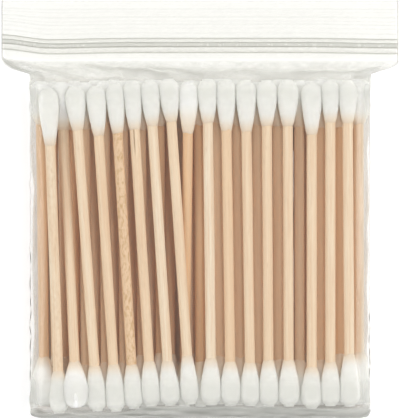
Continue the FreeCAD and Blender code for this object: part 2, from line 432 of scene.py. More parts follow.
def cotton_material():
    """Wound cotton: matt and off-white, with fine fibres that run round it."""
    material, tree, principled = shader("wound_cotton")
    wound = attribute(tree, "wound", "Vector")
    thin = attribute(tree, "thin")
    fibres = noise(tree, wound, (1.6, 11.0, 1.0), 5.0, 0.65)
    base = ramp(tree, noise(tree, wound, (1.0, 1.2, 1.0), 2.0, 0.5), COTTON_TONES)
    shaded = mixed(tree, grey_ramp(tree, fibres, (0.3, 0.16), (0.6, 0.0)), base, COTTON_SHADE)
    # Rear-row cotton is painted lighter: painted light in place of light passed through the cotton in front
    behind = maths(tree, "MULTIPLY", attribute(tree, "behind"), 0.8)
    painted_lighter = mixed(tree, behind, shaded, REAR_COTTON_PAINTED_LIGHT)
    strands = maths(tree, "MULTIPLY", thin, maths(tree, "ADD", fibres, 0.5), clamp=True)
    colour = mixed(tree, maths(tree, "MULTIPLY", strands, 0.95), painted_lighter, COTTON_OVER_WOOD)
    firm = maths(tree, "MULTIPLY", thin, COTTON_SOFTNESS)
    fill(tree, principled, {
        "Base Color": colour, "Roughness": 1.0, "Specular IOR Level": 0.1,
        "Subsurface Weight": maths(tree, "SUBTRACT", COTTON_SOFTNESS, firm),
        "Subsurface Radius": (1.0, 1.0, 0.95), "Subsurface Scale": 2.5 * MM,
        "Sheen Weight": 0.15, "Sheen Roughness": 0.6,
    })
    bumped(tree, fibres, 0.55, 0.06, principled)
    return material


def see_through(name, roughness, tint, flat_gloss, slant_gloss, thin_haze, thick_haze, greys, ripple):
    """Clear plastic: it passes light, mirrors at a slant, and turns cloudy and grey where its attribute says;
    the grey is partly cloudiness and partly painted shade and painted reflection.
    """
    material, tree, principled = shader(name)
    tree.nodes.remove(principled)
    haze_and_shade = attribute(tree, "haze_and_shade")
    clear = made_node(tree, "BsdfTransparent", {"Color": tint})
    gloss = made_node(tree, "BsdfGlossy", {"Roughness": roughness, "Color": (1.0, 1.0, 1.0)})
    slant = made_node(tree, "LayerWeight", {"Blend": 0.5})
    mirrored = maths(tree, "MULTIPLY", maths(tree, "POWER", slant.outputs["Facing"], 5.0), slant_gloss)
    place = tree.nodes.new("ShaderNodeTexCoord").outputs["Object"]
    bumped(tree, noise(tree, place, (220.0, 90.0, 220.0), 3.0, 0.5), ripple, 0.1, gloss, slant)
    sheet = made_node(tree, "MixShader", {
        0: maths(tree, "ADD", mirrored, flat_gloss), 1: clear.outputs["BSDF"], 2: gloss.outputs["BSDF"],
    })
    # Where the film thickens its diffuse colour turns grey: painted shade and painted reflection, over real
    # cloudiness
    milk_and_shade_bsdf = made_node(tree, "BsdfDiffuse", {"Color": mixed(tree, maths(tree, "POWER", haze_and_shade, 1.5), *greys)})
    opacity = maths(tree, "ADD", maths(tree, "MULTIPLY", haze_and_shade, thick_haze), thin_haze, clamp=True)
    whole = made_node(tree, "MixShader", {
        0: opacity, 1: sheet.outputs["Shader"], 2: milk_and_shade_bsdf.outputs["BSDF"],
    })
    fill(tree, tree.nodes["Material Output"], {"Surface": whole.outputs["Shader"]})
    return material


def film_material():
    """Clear film: nearly invisible where it lies flat, cloudy where it is gathered; the grey of its creases,
    folds, walls and edges is painted shade and painted reflection.
    """
    return see_through(
        "clear_film", roughness=0.14, tint=FILM_TINT, flat_gloss=0.012, slant_gloss=0.6,
        thin_haze=0.01, thick_haze=0.75, greys=FILM_MILK_AND_SHADE_GREYS, ripple=0.3,
    )


def zip_material():
    """The extruded strips: the same film plastic, thicker, so cloudier, with grey lines painted as shade
    along their beads and middle band.
    """
    return see_through(
        "zip_plastic", roughness=0.2, tint=ZIP_TINT, flat_gloss=0.01, slant_gloss=0.15,
        thin_haze=0.0, thick_haze=1.0, greys=ZIP_MILK_AND_SHADE_GREYS, ripple=0.05,
    )


def floor_material():
    """A white floor that glows around the bag and lies in its shade under the swabs."""
    material, tree, principled = shader("pale_floor")
    glow = attribute(tree, "glow")
    fill(tree, principled, {
        "Base Color": mixed(tree, glow, FLOOR_SHADED, FLOOR_BRIGHT), "Roughness": 0.9,
        "Emission Color": (1.0, 1.0, 1.0), "Emission Strength": maths(tree, "MULTIPLY", glow, FLOOR_GLOW),
    })
    return material


# Swab meshes


def tube_faces(around, rings, first):
    """Faces between rings of points, each ring closed on itself."""
    faces = []
    for ring in range(rings - 1):
        for k in range(around):
            a = first + ring * around + k
            b = first + ring * around + (k + 1) % around
            faces.append((a, b, b + around, a + around))
    return faces


def pointed_tube(around, rings, first):
    """A tube's faces, closed at both ends around two points that follow its rings."""
    faces = tube_faces(around, rings, first)
    start = first + around * rings
    last = start - around
    for k in range(around):
        after = (k + 1) % around
        faces.append((start, first + after, first + k))
        faces.append((start + 1, last + k, last + after))
    return faces


def closed_tube(around, rings):
    """A tube's faces, with one face across each end."""
    ends = [tuple(range(around))[::-1], tuple(range((rings - 1) * around, rings * around))]
    return tube_faces(around, rings, 0) + ends


class Batch:
    """Points, faces and attributes of several like solids that become one object."""

    def __init__(self):
        self.points = []
        self.faces = []
        self.extra = {}
        self.count = 0

    def add(self, points, faces, **extra):
        self.points.append(points)
        self.faces += faces
        self.count += len(points)
        for name, values in extra.items():
            self.extra.setdefault(name, []).append(values)

    def build(self, name, material):
        made = new_object(name, np.concatenate(self.points), self.faces, material)
        for key, values in self.extra.items():
            give(made, key, np.concatenate(values))
        return made


# The stick with a long slit near its top, its groove painted dark as shade
SLIT_SWAB = 5
SLIT_AROUND = 64
SLIT_START = 9.0
SLIT_LENGTH = 8.0
SLIT_TURN = 0.2
SLIT_HALF_WIDTH = 0.13
SLIT_DEPTH = 0.45
SLIT_RUN_IN = 1.5
SLIT_RUN_OUT = 5.0
SLIT_SHADE_STRENGTH = 1.6

# Swabs of row 2 whose cotton fills a gap in the front row: how much fuller it is, and how far it
# comes forward
FORWARD_SWELL = {200: 1.3, 201: 1.4, 216: 1.5}
FORWARD_LIFT = {201: 1.2}

# How mottled a stick is, and how light: 0 is the brown of the rear rows. Their darker tones are painted shade
# of the rows in front, over tones that differ at random.
FIGURED_SWABS = {4: 0.9, 1: 0.25, 5: 0.1}
STICK_TONES_AND_SHADE = {
    1: 0.8, 2: 0.75, 3: 0.55, 4: 0.3, 5: 0.6, 6: 0.9, 7: 0.7, 8: 1.0, 9: 0.35, 10: 0.6,
    11: 0.55, 12: 0.6, 13: 0.65, 14: 0.7, 15: 0.75, 201: 0.65, 216: 0.6,
}


def squared_off(turn):
    """How far a rounded square reaches at each turn, next to the circle around it."""
    across = np.abs(np.cos(turn)) ** BUD_SQUARENESS + np.abs(np.sin(turn)) ** BUD_SQUARENESS
    return across ** (-1 / BUD_SQUARENESS)


def add_stick(batch, swab, around, rings, draw):
    """A round stick with slight flats and grooves that run along it."""
    turns = np.linspace(0, 2 * math.pi, around, endpoint=False)
    steps = np.linspace(-swab.half, swab.half, rings)
    turn, along = np.meshgrid(turns, steps)
    turn, along = turn.ravel(), along.ravel()
    wobble = Waves(swab.number, 5.0, stretch=6.0)
    groove = Waves(swab.number + 500, 0.7, stretch=30.0)
    arc = turn * swab.radius
    radius = swab.radius - STICK_WOBBLE - STICK_GROOVE
    radius = radius + STICK_WOBBLE * np.sin(2 * turn + swab.number) * np.cos(0.05 * along)
    radius = radius + 0.2 * STICK_WOBBLE * wobble(arc, along) + 0.5 * STICK_GROOVE * groove(arc, along)
    dark = np.zeros(len(turn))
    if swab.number == SLIT_SWAB:
        from_end = swab.half - along
        sideways = (turn - (math.pi / 2 + SLIT_TURN)) * swab.radius
        inside = np.clip(1 - np.abs(sideways) / SLIT_HALF_WIDTH, 0, 1)
        run = rises(from_end, SLIT_START - SLIT_RUN_IN, SLIT_RUN_IN)
        run = run * falls(from_end, SLIT_START + SLIT_LENGTH, SLIT_RUN_OUT)
        radius = radius - SLIT_DEPTH * inside * run
        # Inside the slit the wood is painted dark as shade
        dark = np.minimum(1.0, SLIT_SHADE_STRENGTH * inside * run)
    local = np.stack([radius * np.cos(turn), radius * np.sin(turn), along], axis=1)
    ends = np.array([[0, 0, -swab.half], [0, 0, swab.half]])
    local = np.concatenate([local, ends])
    shift = np.array([draw.uniform(0, 90), draw.uniform(0, 90), draw.uniform(0, 900)])
    faces = pointed_tube(around, rings, batch.count)
    # Rear-row sticks draw darker tones: painted shade, mixed with tones that differ at random
    tone = STICK_TONES_AND_SHADE.get(swab.number, draw.uniform(0.0, 0.5))
    figure = FIGURED_SWABS.get(swab.number, 0.0)
    count = len(local)
    batch.add(
        swab.place(local), faces, grain=local + shift, tone=np.full(count, tone),
        figure=np.full(count, figure), dark=np.concatenate([dark, [0.0, 0.0]]),
    )


def bud_radius(bud, hem, deep):
    """A bud's radius at a depth behind its tip, as if nothing pressed on it, and 0 before its tip."""
    whole = bud.radius * BUD_SWELL
    length = bud.length + COTTON_HEM_REACH
    dome = np.clip(1 - np.clip(deep, 0, None) / BUD_DOME, 0, 1)
    domed = whole * (1 - dome**BUD_DOME_POWER) ** (1 / BUD_DOME_POWER)
    taper = np.clip((deep - BUD_BARREL_END) / (length - BUD_BARREL_END), 0, 1)
    tapered = hem + (domed - hem) * (1 - taper**BUD_TAPER_POWER)
    return np.where(deep > BUD_BARREL_END, tapered, domed) * (deep > 0)


def past_film(spot, ray):
    """How far places are past the film's inside, and how straight a ray from a bud meets it."""
    width, height, corner = film_shape(spot[:, 1])
    left, right = pinch_at(spot[:, 1])
    half_x = width - np.where(spot[:, 0] < 0, left, right) - FILM_ROOM
    half_z = height - FILM_ROOM
    corner = np.maximum(corner - FILM_ROOM, 0.05)
    past_x = np.abs(spot[:, 0]) - half_x + corner
    past_z = np.abs(spot[:, 2] - MID_Z) - half_z + corner
    beyond = np.hypot(np.maximum(past_x, 0), np.maximum(past_z, 0))
    outside = beyond + np.minimum(np.maximum(past_x, past_z), 0) - corner
    lean = np.maximum(past_x, 0) * np.abs(ray[:, 0]) + np.maximum(past_z, 0) * np.abs(ray[:, 2])
    return outside, np.clip(lean / np.maximum(beyond, 0.01), 0.35, 1.0)


def pressed(swab, bud, turn, along, lift, radius, swabs):
    """The radius where the neighbours' cotton and the film press on a bud, which flatten it."""
    hem = swab.radius + COTTON_HEM
    centre = swab.middle + np.outer(along, swab.along) + np.outer(lift, swab.up)
    free = bud_radius(bud, hem, bud.tip - bud.sign * along)
    ray = np.cos(turn)[:, None] * swab.side + np.sin(turn)[:, None] * swab.up
    limit = np.full(len(turn), NO_LIMIT)
    for other in swabs:
        if other is swab or other.off_axis(centre.mean(axis=0)) > BUD_REACH:
            continue
        rival = next((found for found in other.buds if found.sign == bud.sign), None)
        if rival is None:
            continue
        share = (centre[:, 1] - other.middle[1]) / other.along[1]
        apart = other.middle + np.outer(share, other.along) - centre
        distance = np.linalg.norm(apart, axis=1)
        theirs = bud_radius(rival, other.radius + COTTON_HEM, rival.tip - rival.sign * share)
        facing = (ray * apart).sum(axis=1) / distance
        touching = (facing > PRESS_FACING) & (free + theirs > distance)
        plane = distance * free / np.maximum(free + theirs, 0.01) + BUD_OVERLAP
        limit = np.where(touching, np.minimum(limit, plane / np.maximum(facing, PRESS_FACING)), limit)
    spare = np.clip((limit - radius) / SOFT_PRESS, -40, 40)
    radius = radius - SOFT_PRESS * np.log1p(np.exp(-spare)) * (limit < NO_LIMIT)
    for _ in range(PRESS_PASSES):
        outside, lean = past_film(centre + ray * radius[:, None], ray)
        radius = radius - np.clip(outside, 0, None) / lean
    return np.maximum(radius, swab.radius + 0.01)


def add_bud(batch, swab, bud, around, rings, draw, swabs):
    """A cotton bud: a dome, a barrel and a long taper that ends in a thin, frayed hem."""
    hem = swab.radius + COTTON_HEM
    length = bud.length + COTTON_HEM_REACH
    turns = np.linspace(0, 2 * math.pi, around, endpoint=False)
    share = np.linspace(0, 1, rings)
    from_tip = length * (share + TIP_RING_SHARE * (share**TIP_RING_POWER - share))
    from_tip[0] = FIRST_RING
    turn, deep = np.meshgrid(turns, from_tip)
    turn, deep = turn.ravel(), deep.ravel()
    fray = Waves(swab.number * 3 + bud.sign, 2.0)(turn * hem, 0 * turn) * COTTON_EDGE_FRAY
    deep = deep + ease((deep / length - 0.6) / 0.4) * (fray - COTTON_EDGE_FRAY)
    radius = bud_radius(bud, hem, deep)
    along = bud.sign * (bud.tip - deep)
    full = ease((radius - hem) / 0.6) * ease(deep / 1.2)
    radius = radius * (1 + (squared_off(turn) - 1) * full)
    lumps = Waves(swab.number * 7 + bud.sign * 3, COTTON_LUMP_SIZE)
    wound = turn * bud.radius
    thread = np.sin(COTTON_THREAD_TURNS * deep + 1.3 * turn + 2 * lumps(wound * 0.5, deep * 0.5))
    radius = radius - full * (COTTON_LUMP * (0.5 - 0.5 * lumps(wound, deep)) + COTTON_THREAD * (1 - thread))
    most_lift = FORWARD_LIFT.get(swab.number, 0.0)
    lift = most_lift * ease((length - deep - 1.0) / 5.0)
    radius = pressed(swab, bud, turn, along, lift, radius, swabs)
    radius = radius - COTTON_TUCK_DEPTH * ease((deep - length + COTTON_TUCK) / COTTON_TUCK)
    local = np.stack([radius * np.cos(turn), radius * np.sin(turn) + lift, along], axis=1)
    ends = np.array([[0, most_lift, bud.sign * bud.tip], [0, 0, bud.sign * (bud.tip - length)]])
    local = np.concatenate([local, ends])
    faces = pointed_tube(around, rings, batch.count)
    if bud.sign > 0:
        faces = [face[::-1] for face in faces]
    shift = draw.uniform(0, 500)
    wound_at = np.stack([radius * np.cos(turn) + shift, deep, radius * np.sin(turn)], axis=1)
    wound_at = np.concatenate([wound_at, [[shift, 0, 0], [shift, length, 0]]])
    # Rear-row cotton fades into the wood colour from further up: partly thinner cotton, partly painted warm
    # bounce light from the sticks
    fade = COTTON_FADE
    if swab.number >= ROW_STEP and swab.number not in FORWARD_SWELL:
        fade = REAR_FADE + draw.uniform(-REAR_FADE_SPREAD, REAR_FADE_SPREAD)
    thin = np.concatenate([ease((deep - length + fade) / fade), [0.0, 1.0]])
    # Marks the rear rows, whose cotton is painted lighter
    behind = np.full(len(local), float(swab.number >= ROW_STEP))
    batch.add(swab.place(local), faces, wound=wound_at, thin=thin, behind=behind)


def dress_swabs(wood, cotton):
    """Every swab's stick and buds, each standing for the CAD node that it follows."""
    draw = random.Random(11)
    groups = []
    for ending, first, step in (("_stick", 1, 1), ("_sticks", 2 * ROW_STEP, ROW_STEP)):
        for place, stick in enumerate(sorted(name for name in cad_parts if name.endswith(ending))):
            stem = stick.removesuffix(ending)
            nodes = stick, f"{stem}_top_cotton", f"{stem}_bottom_cotton"
            groups.append((nodes, read_swabs(stick, nodes[1:], first + step * place)))
    every = [swab for _, swabs in groups for swab in swabs]
    for swab in every:
        for bud in swab.buds:
            bud.radius *= FORWARD_SWELL.get(swab.number, 1.0)
    for nodes, swabs in groups:
        near = swabs[0].number < ROW_STEP * (NEAR_ROWS + 1)
        sticks, buds = Batch(), {1: Batch(), -1: Batch()}
        for swab in swabs:
            fine = NEAR_STICK if near else FAR_STICK
            add_stick(sticks, swab, SLIT_AROUND if swab.number == SLIT_SWAB else fine[0], fine[1], draw)
            for bud in swab.buds:
                add_bud(buds[bud.sign], swab, bud, *(NEAR_BUD if near else FAR_BUD), draw, every)
        finish_piece(sticks.build(f"{nodes[0]}_birch", wood), "wood", nodes[0])
        finish_piece(buds[1].build(f"{nodes[1]}_wound", cotton), "cotton", nodes[1])
        finish_piece(buds[-1].build(f"{nodes[2]}_wound", cotton), "cotton", nodes[2])


# The film


def reach_across(node, low_y, high_y):
    """How far a CAD node reaches to the side, between two places along the bag."""
    _, points = read_points(node)
    near = points[(points[:, 1] > low_y) & (points[:, 1] < high_y)]
    return np.abs(near[:, 0]).max()


FOLD_Y = bag_low[1]
MOUTH_Y = bag_high[1]
MID_Z = (BAG_BASE + BAG_TOP) / 2
HALF_DEPTH = (BAG_TOP - BAG_BASE) / 2
HEADER_HALF_WIDTH = (bag_high[0] - bag_low[0]) / 2
HEADS_END_Y = mm_box("row_2_top_cotton")[1][1]
zip_low, zip_high = mm_box("front_zip_strip")
ZIP_Y = (zip_low[1] + zip_high[1]) / 2
strip_low = mm_box("back_zip_strip")[0]
ZIP_HALF = (zip_high[2] - strip_low[2]) / 2 + FILM
SIDE_REACH = reach_across("zip_bag", FOLD_Y, 0.0) - WELD_FIN
BODY_CORNER = 4.2
HEADER_START_Y = ZIP_Y - 3.4
LIP_HALF = 0.26

# The film's form, from the fold up: distance from a place, how much wider than a half width, and
# its share of the half depth. At the fold and on the shoulder the half width is the body's, and
# below the zip it is the header's.
FOLD_FORM = [
    (0.0, -1.9, 0.3), (0.2, -1.1, 0.49), (0.5, -0.66, 0.69), (1.0, -0.28, 0.85), (1.7, -0.03, 0.96),
    (2.8, 0.0, 1.0),
]
SHOULDER_FORM = [(-6.0, 0.0, 1.0), (-5.0, 0.0, 0.955), (-4.2, 0.0, 0.86), (-3.1, 0.2, 0.64)]
SLOPE_FORM = [(-2.1, -3.3, 0.42), (-1.4, -1.5, 0.28), (-0.4, -0.3, 0.12)]
ZIP_FORM = [
    (HEADER_START_Y, ZIP_HALF * 1.2), (ZIP_Y - 1.95, ZIP_HALF), (ZIP_Y + 1.95, ZIP_HALF),
    (MOUTH_Y, LIP_HALF),
]
FILM_FORM = [
    (start + up, reach + wider, HALF_DEPTH * share)
    for start, reach, form in (
        (FOLD_Y, SIDE_REACH, FOLD_FORM),
        (HEADER_START_Y, SIDE_REACH, SHOULDER_FORM),
        (HEADER_START_Y, HEADER_HALF_WIDTH, SLOPE_FORM),
    )
    for up, wider, share in form
] + [(y, HEADER_HALF_WIDTH, half) for y, half in ZIP_FORM]

# How far the film's sides are drawn in between the buds: places along the bag, and depths
LEFT_PINCH = [
    (-41.0, 0.0), (-37.5, 0.5), (-33.0, 0.85), (-20.0, 0.85), (-15.0, 0.5), (-8.0, 0.7), (0.0, 0.85),
    (7.5, 0.75), (11.0, 0.2), (16.0, 0.1), (19.0, 0.3), (22.0, 0.05), (29.0, 0.0),
]
RIGHT_PINCH = [
    (-41.0, 0.0), (-36.0, 0.5), (-32.0, 0.85), (-20.0, 0.9), (-5.0, 0.85), (0.0, 0.5), (6.0, 0.6),
    (9.0, 0.75), (12.0, 0.5), (16.0, 0.7), (20.0, 0.1), (29.0, 0.0),
]
RIGHT_PINCH_SHARE = 0.75


def film_shape(y):
    """The film's half width, half height and corner radius at a place along the bag."""
    places, widths, heights = zip(*FILM_FORM)
    width = np.interp(y, places, widths)
    height = np.interp(y, places, heights)
    before = np.interp(y - SMOOTHING, places, heights)
    after = np.interp(y + SMOOTHING, places, heights)
    smooth = 0.25 * (before + after) + 0.5 * height
    height = height + (smooth - height) * rises(y, SMOOTH_START_Y, 2.0) * falls(y, HEADER_START_Y - 0.2, 1.0)
    corner = np.minimum(BODY_CORNER, 0.8 * height)
    return width, height, corner


def pinch_at(y):
    """How far the left and the right side are drawn in at a place along the bag."""
    return np.interp(y, *zip(*LEFT_PINCH)), RIGHT_PINCH_SHARE * np.interp(y, *zip(*RIGHT_PINCH))


def over(width, height, corner, count):
    """Points from the right weld over a panel to the left weld, evenly spaced."""
    side = height - corner
    bend = corner * math.pi / 2
    flat = width - corner
    whole = side + bend + flat
    at = np.linspace(0, 2 * whole, count)
    from_weld = np.minimum(at, 2 * whole - at)
    turn = np.clip((from_weld - side) / corner, 0, math.pi / 2)
    x = np.where(from_weld < side + bend, flat + corner * np.cos(turn), whole - from_weld)
    z = np.where(from_weld < side, from_weld, side + corner * np.sin(turn))
    return np.where(at > whole, -x, x), z


def film_ring(y, flatten, inset):
    """One ring of the film: right weld, over the front, left weld, and back underneath."""
    width, height, corner = film_shape(y)
    height = height * flatten
    corner = min(corner, 0.8 * height)
    inner = max(width - inset, 0.1), max(height - inset, 0.012), max(corner - inset, 0.01)
    front = np.stack(over(*inner, FRONT_POINTS), axis=1)
    back = -np.stack(over(*inner, BACK_POINTS), axis=1)[1:-1]
    ring = np.concatenate([front, back])
    left, right = pinch_at(y)
    ring[:, 0] *= np.where(ring[:, 0] < 0, 1 - left / width, 1 - right / width)
    return np.stack([ring[:, 0], np.full(len(ring), y), ring[:, 1] + MID_Z], axis=1)


# Creases in the front of the shoulder: points, half width, how far the film stands out, and how cloudy and
# grey it is there; the grey is painted shade and painted reflection
CREASES = {
    "left_wedge": ([(-44.4, 33.9), (-42.9, 32.9), (-41.0, 32.0), (-38.2, 31.0)], 0.5, 0.1, 1.0),
    "left_wall": ([(-38.75, 22.6), (-38.4, 20.4), (-38.0, 18.0)], 0.3, 0.0, 0.9),
    "left_fold": ([(-38.5, 31.3), (-37.6, 31.0), (-37.2, 30.3), (-36.5, 29.4), (-36.3, 28.3)],
                  0.5, 0.25, 1.0),
    "left_fold_twin": ([(-38.6, 30.9), (-38.2, 30.2), (-38.0, 29.4)], 0.3, 0.1, 0.5),
    "left_long": ([(-44.5, 33.7), (-42.2, 33.5), (-39.9, 33.3), (-36.9, 31.9), (-34.7, 31.1), (-31.0, 29.5),
                   (-27.4, 29.2)], 0.38, 0.2, 0.55),
    "left_faint": ([(-38.5, 33.2), (-36.5, 32.6), (-34.0, 32.0), (-31.5, 31.0)], 0.5, 0.1, 0.2),
    "left_loop": ([(-36.5, 29.6), (-35.6, 30.0), (-34.7, 29.4), (-34.2, 28.5), (-34.9, 27.8), (-36.0, 28.0)],
                  0.35, 0.15, 0.35),
    "left_dip": ([(-30.8, 27.8), (-29.0, 28.3), (-26.4, 27.9), (-25.0, 28.3)], 0.4, 0.1, 0.4),
    "left_arch": ([(-25.5, 28.0), (-23.9, 29.0), (-22.1, 29.5), (-20.5, 29.6), (-19.2, 29.3), (-18.2, 28.3)],
                  0.6, 0.15, 0.55),
    "middle_lower": ([(-27.4, 33.1), (-23.7, 32.4), (-20.1, 31.9), (-16.0, 31.4), (-13.7, 30.9), (-9.1, 30.1),
                      (-6.0, 29.8)], 0.5, -0.25, 0.7),
    "middle_upper": ([(-12.3, 32.5), (-10.3, 32.0), (-5.0, 31.5), (-2.3, 31.0), (1.8, 30.1)],
                     0.45, -0.2, 0.6),
    "middle_soft": ([(-19.0, 31.0), (-14.0, 30.3), (-10.0, 29.6), (-4.0, 29.5)], 0.9, 0.0, 0.35),
    "right_band": ([(-6.0, 30.9), (2.0, 30.6), (12.0, 30.6), (20.0, 30.6), (25.0, 30.5)], 1.1, -0.2, 0.45),
    "right_lower": ([(13.0, 29.5), (18.2, 29.5), (22.8, 29.6), (25.5, 30.0)], 0.35, 0.1, 0.4),
    "right_sweep": ([(21.5, 31.0), (25.1, 30.1), (29.6, 30.4), (34.2, 31.1), (38.8, 31.9), (42.9, 32.5)],
                    0.38, -0.15, 0.65),
    "right_arch": ([(23.5, 28.3), (25.1, 29.1), (26.9, 29.5), (28.7, 29.8), (33.0, 29.8)], 0.4, 0.1, 0.35),
    "right_corner": ([(35.1, 30.4), (36.9, 30.6), (39.0, 30.4)], 0.4, 0.2, 0.85),
    "right_upper": ([(35.6, 31.2), (38.3, 31.2), (41.0, 31.5)], 0.28, 0.1, 0.5),
    "right_hook": ([(36.3, 29.4), (37.0, 28.6), (38.0, 27.9), (38.6, 28.3)], 0.35, 0.15, 0.6),
    "right_stem": ([(36.2, 30.3), (36.6, 29.3)], 0.3, 0.1, 0.4),
}
# Lines and streaks of the folded end, painted grey as shade and reflection
END_CREASES = {
    "left_dark": ([(-39.0, -44.6), (-35.5, -45.5), (-33.0, -46.4), (-31.0, -47.6)], 0.3, 0.1, 0.4),
    "upper": ([(-12.0, -46.1), (-2.0, -46.3), (10.0, -46.1), (20.0, -46.3)], 0.22, -0.1, 0.3),
    "lower": ([(-20.0, -47.0), (-8.0, -47.2), (6.0, -46.9), (22.0, -47.2), (33.0, -47.1)], 0.22, -0.1, 0.3),
}
# Grip ribs of the lips: their places along the bag, and how cloudy each is, which paints each rib as a grey
# line of shade
RIBS = {40.4: 0.09, 41.5: 0.06, 42.4: 0.13, 43.1: 0.06, 44.05: 0.15, 45.2: 0.06, 45.85: 0.13}
RIB_START_Y = 39.9
RIB_END_Y = 46.4
RIB_HALF_WIDTH = 0.17
RIB_HEIGHT = 0.05


def far_from_line(x, y, points):
    """How far each place is from a bent line, and how far along the line it is, from 0 to 1."""
    best = np.full(len(x), 1e9)
    where = np.zeros(len(x))
    pieces = len(points) - 1
    for k in range(pieces):
        (ax, ay), (bx, by) = points[k], points[k + 1]
        dx, dy = bx - ax, by - ay
        share = np.clip(((x - ax) * dx + (y - ay) * dy) / (dx * dx + dy * dy), 0, 1)
        away = np.hypot(x - ax - share * dx, y - ay - share * dy)
        nearer = away < best
        best = np.where(nearer, away, best)
        where = np.where(nearer, (k + share) / pieces, where)
    return best, where


def header_drift(x):
    """How far the header's lines stand above or below their even height, across the bag."""
    dip = HEADER_LEFT_DIP * np.exp(-(((x + 34.5) / 11.0) ** 2))
    return HEADER_LEFT_RISE * rises(-x, 34.0, 11.5) - dip - HEADER_RIGHT_FALL * rises(x, 24.0, 21.0)


def shoulder_rise(x, y):
    """How far the bend above the buds is pushed towards the zip, which is never even."""
    uneven = 0.55 + 0.3 * Waves(35, 14.0)(x, 0.0 * y) + 0.12 * Waves(36, 5.0)(x, 0.0 * y)
    rise = SHOULDER_RISE * np.clip(uneven, 0.0, 1.0)
    return rise * rises(y, RISE_START_Y, 2.5) * falls(y, HEADER_START_Y - 1.0, 3.0)


class Regions:
    """How much each place of the film belongs to each region, from 0 to 1."""

    def __init__(self, points, normals):
        x, y, _ = points.T
        facing = normals[:, 2]
        self.front = rises(facing, 0.1, 0.5)
        self.back = rises(-facing, 0.1, 0.5)
        self.not_under = rises(facing, -0.3, 0.4)
        self.sideways = rises(np.abs(normals[:, 0]), 0.5, 0.3)
        self.edge = rises(np.abs(x), EDGE_START_X, 1.6)
        self.sticks = rises(y, STICKS_START_Y, 4.0) * falls(y, STICKS_END_Y, 4.0)
        self.body = rises(y, FOLD_Y + 2.0, 3.0) * falls(y, HEADER_START_Y - 5.0, 3.0)
        self.shoulder = rises(y, HEADER_START_Y - 8.0, 3.5) * falls(y, HEADER_START_Y + 0.5, 1.5)
        self.header = rises(y, HEADER_START_Y, 1.0)
        gathered_to = FOLD_Y + 2.0 + 1.6 * rises(x, -19.0, 9.0) - 0.6 * rises(x, 14.0, 14.0)
        self.gathered = falls(y, gathered_to + 0.15 * Waves(33, 9.0)(x, 0.0 * y), 1.1)


def film_wrinkles(points, region, crumple):
    """How far the film stands off its plain form, apart from its creases and ribs."""
    x, y, z = points.T
    up = z - MID_Z
    flat = region.sticks * (region.front + region.back)
    out = -STICKS_SAG * flat * (0.55 + 0.4 * Waves(3, 15.0, stretch=2.5)(x, y))
    walls = Waves(5, 7.0)(y, 0.6 * up + 40 * np.sign(x))
    out += -WALL_SAG * region.sideways * region.body * (0.8 + walls)
    out += SHOULDER_CRUMPLE * region.shoulder * (crumple - 1.1)
    gathers = 0.6 * (Waves(12, 3.2)(x, 0.7 * up) + Waves(13, 7.0)(x, 0.9 * up))
    return out + GATHERS * region.gathered * gathers


def film_haze_and_shade(points, region, crumple):
    """How cloudy the film is, apart from its creases and ribs, with painted grey shade and reflection on the
    shoulder, past the buds' tips, at the edges, on the walls and at the gathered end.
    """
    x, y, z = points.T
    haze_and_shade = PLAIN_HAZE + BODY_HAZE * region.body + HEADER_HAZE * region.header * region.front
    veil = rises(y, TOP_VEIL_Y, VEIL_REACH) + falls(y, LOW_VEIL_Y, VEIL_REACH)
    haze_and_shade = haze_and_shade + VEIL_HAZE * veil * region.body
    haze_and_shade = haze_and_shade + SHOULDER_HAZE_AND_SHADE * region.shoulder * (0.8 + 0.3 * crumple)
    # A band of painted shade just past the buds' tips
    tips = HEADS_END_Y - 0.7 + 0.7 * Waves(31, 16.0)(x, 0.0 * y)
    haze_and_shade = haze_and_shade + TIPS_HAZE_AND_SHADE * np.exp(-(((y - tips) / 1.3) ** 2)) * region.front
    # The edges beside the top buds and near the fold are painted grey as shade
    top_edge = rises(y, STICKS_END_Y + 1.0, 4.0) * falls(y, HEADER_START_Y - 1.5, 3.0)
    low_edge = np.where(x < 0, EDGE_HAZE_AND_SHADE, RIGHT_LOW_EDGE_HAZE_AND_SHADE) * falls(y, STICKS_START_Y - 2.0, 3.0)
    haze_and_shade = haze_and_shade + region.edge * (EDGE_HAZE_AND_SHADE * top_edge + low_edge)
    # The gathered end and its streaks: painted shade of the bag's inside and painted reflection, over real
    # gathered cloudiness
    streaks = 0.5 + 0.5 * Waves(14, 14.0, stretch=0.12)(x, y + 0.4 * (z - MID_Z))
    haze_and_shade = haze_and_shade + region.gathered * (GATHERED_HAZE_AND_SHADE + STREAK_HAZE_AND_SHADE * streaks)
    # The side walls are painted grey as shade
    return haze_and_shade + WALL_HAZE_AND_SHADE * region.sideways * region.body


def film_displacement(points, normals):
    """How far the film stands off its plain form, in the direction of its normals, and how cloudy and grey it
    is, the grey being partly painted shade and reflection.
    """
    x, y, _ = points.T
    region = Regions(points, normals)
    crumple = Waves(8, 5.5)(x, 1.6 * y) * 0.5 + Waves(9, 2.6)(x, 1.6 * y) * 0.25
    out = film_wrinkles(points, region, crumple)
    haze_and_shade = film_haze_and_shade(points, region, crumple)
    for line, half_width, lift, milk_and_shade in [*CREASES.values(), *END_CREASES.values()]:
        away, where = far_from_line(x, y, line)
        ends = np.clip(np.sin(math.pi * np.clip(where, 0.02, 0.98)) * 3, 0, 1)
        ridge = np.exp(-((away / half_width) ** 2)) * ends
        out += lift * ridge * region.front
        haze_and_shade = haze_and_shade + (1 - haze_and_shade) * min(1.2 * milk_and_shade, 0.98) * ridge * region.not_under
    for place, milk_and_shade in RIBS.items():
        ridge = np.exp(-(((y - place) / RIB_HALF_WIDTH) ** 2)) * region.header * region.front
        out += RIB_HEIGHT * ridge
        haze_and_shade = haze_and_shade + milk_and_shade * ridge
    return out, np.clip(haze_and_shade, 0, 1)


